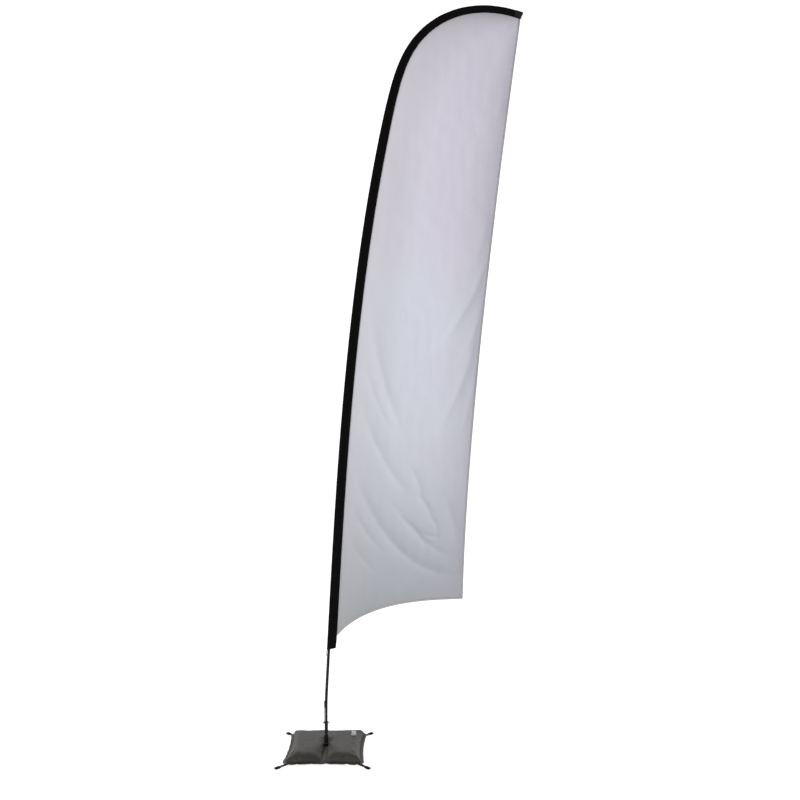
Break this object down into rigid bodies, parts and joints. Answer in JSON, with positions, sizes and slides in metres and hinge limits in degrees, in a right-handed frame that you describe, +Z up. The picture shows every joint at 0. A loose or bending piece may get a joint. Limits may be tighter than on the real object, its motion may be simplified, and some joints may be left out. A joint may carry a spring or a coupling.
{
  "type": "feather flag with pole",
  "caption": "Tall plain feather flag in a black pole sleeve on a bent sectional pole, turning on a bearing spindle over a folding cross base under a water bag.",
  "frame": {"origin": "the floor point under the mast's turning axis, on the flat underside of the pivot bolt's head", "axes": "+Z up along the mast's turning axis; +X towards the flag, which lies in the XZ plane; the bag's slit opens towards -Y"},
  "size_m": [1.4715, 0.5546, 4.4984],
  "materials": {
    "black_steel": "satin",
    "zinc_steel": "satin",
    "bearing_steel": "polished",
    "black_rubber": "matte",
    "black_plastic": "satin",
    "pole_fibre": "satin",
    "sleeve_cloth": "matte",
    "webbing": "matte",
    "flag_cloth": "matte",
    "bag_sheet": "satin",
    "white_plastic": "satin",
    "nylon": "satin"
  },
  "bodies": {
    "base": {"lower_leg_bar": "black_steel", "leg_cap_front_left": "black_rubber", "leg_cap_back_right": "black_rubber", "pivot_bolt": "zinc_steel", "leg_washer": "nylon", "spring_washer": "zinc_steel", "spindle_housing": "black_steel", "lower_bearing_outer_race": "bearing_steel", "upper_bearing_outer_race": "bearing_steel", "bearing_spacer": "zinc_steel", "housing_clip": "zinc_steel"},
    "cross_leg": {"upper_leg_bar": "black_steel", "leg_cap_front_right": "black_rubber", "leg_cap_back_left": "black_rubber", "pivot_bush": "nylon"},
    "rotor": {"spindle": "zinc_steel", "spindle_clip": "zinc_steel", "lower_bearing_inner_race": "bearing_steel", "lower_bearing_ball_cage": "bearing_steel", "upper_bearing_inner_race": "bearing_steel", "upper_bearing_ball_cage": "bearing_steel"},
    "mast": {"foot_ferrule": "black_steel", "hook_collar": "black_plastic", "pole_section_1": "pole_fibre", "pole_section_2": "pole_fibre", "pole_section_3": "pole_fibre", "pole_section_4": "pole_fibre", "pole_ferrule_1": "black_steel", "pole_ferrule_2": "black_steel", "pole_ferrule_3": "black_steel", "pole_tip_cap": "black_plastic", "tether_tab": "webbing", "tether_ring": "zinc_steel", "tether_strap": "webbing", "tether_adjuster": "black_plastic", "tether_loop": "webbing", "sleeve": "sleeve_cloth", "sleeve_end_patch": "webbing", "luff_tape": "flag_cloth", "flag_panel": "flag_cloth", "leech_hem": "flag_cloth", "bottom_hem": "flag_cloth"},
    "bag": {"water_bag": "bag_sheet", "hole_ring": "bag_sheet", "filler_neck": "white_plastic"},
    "seal": {"cap_seal": "black_rubber"},
    "cap": {"filler_cap": "white_plastic"}
  },
  "joints": [
    {"name": "leg_fold", "type": "hinge", "parent": "base", "child": "cross_leg", "pos_m": [0, 0, 0.0091], "axis": [0, 0, 1], "range_deg": [0, 78]},
    {"name": "mast_turn", "type": "hinge", "parent": "base", "child": "rotor", "pos_m": [0, 0, 0.1], "axis": [0, 0, 1], "continuous": true},
    {"name": "mast_lift", "type": "slide", "parent": "rotor", "child": "mast", "axis": [0, 0, 1], "range_m": [0, 0.2]},
    {"name": "bag_slide", "type": "slide", "parent": "base", "child": "bag", "axis": [0, 1, 0], "range_m": [0, 0.56]},
    {"name": "cap_rise", "type": "slide", "parent": "bag", "child": "seal", "axis": [0, 0, 1], "range_m": [0, 0.012]},
    {"name": "cap_turn", "type": "hinge", "parent": "seal", "child": "cap", "pos_m": [0.16, 0.104, 0.06], "axis": [0, 0, 1], "range_deg": [0, 1080.5]}
  ],
  "couplings": [
    {"joint": "cap_turn", "follows": "cap_rise", "rad_per_m": 1570.8}
  ]
}
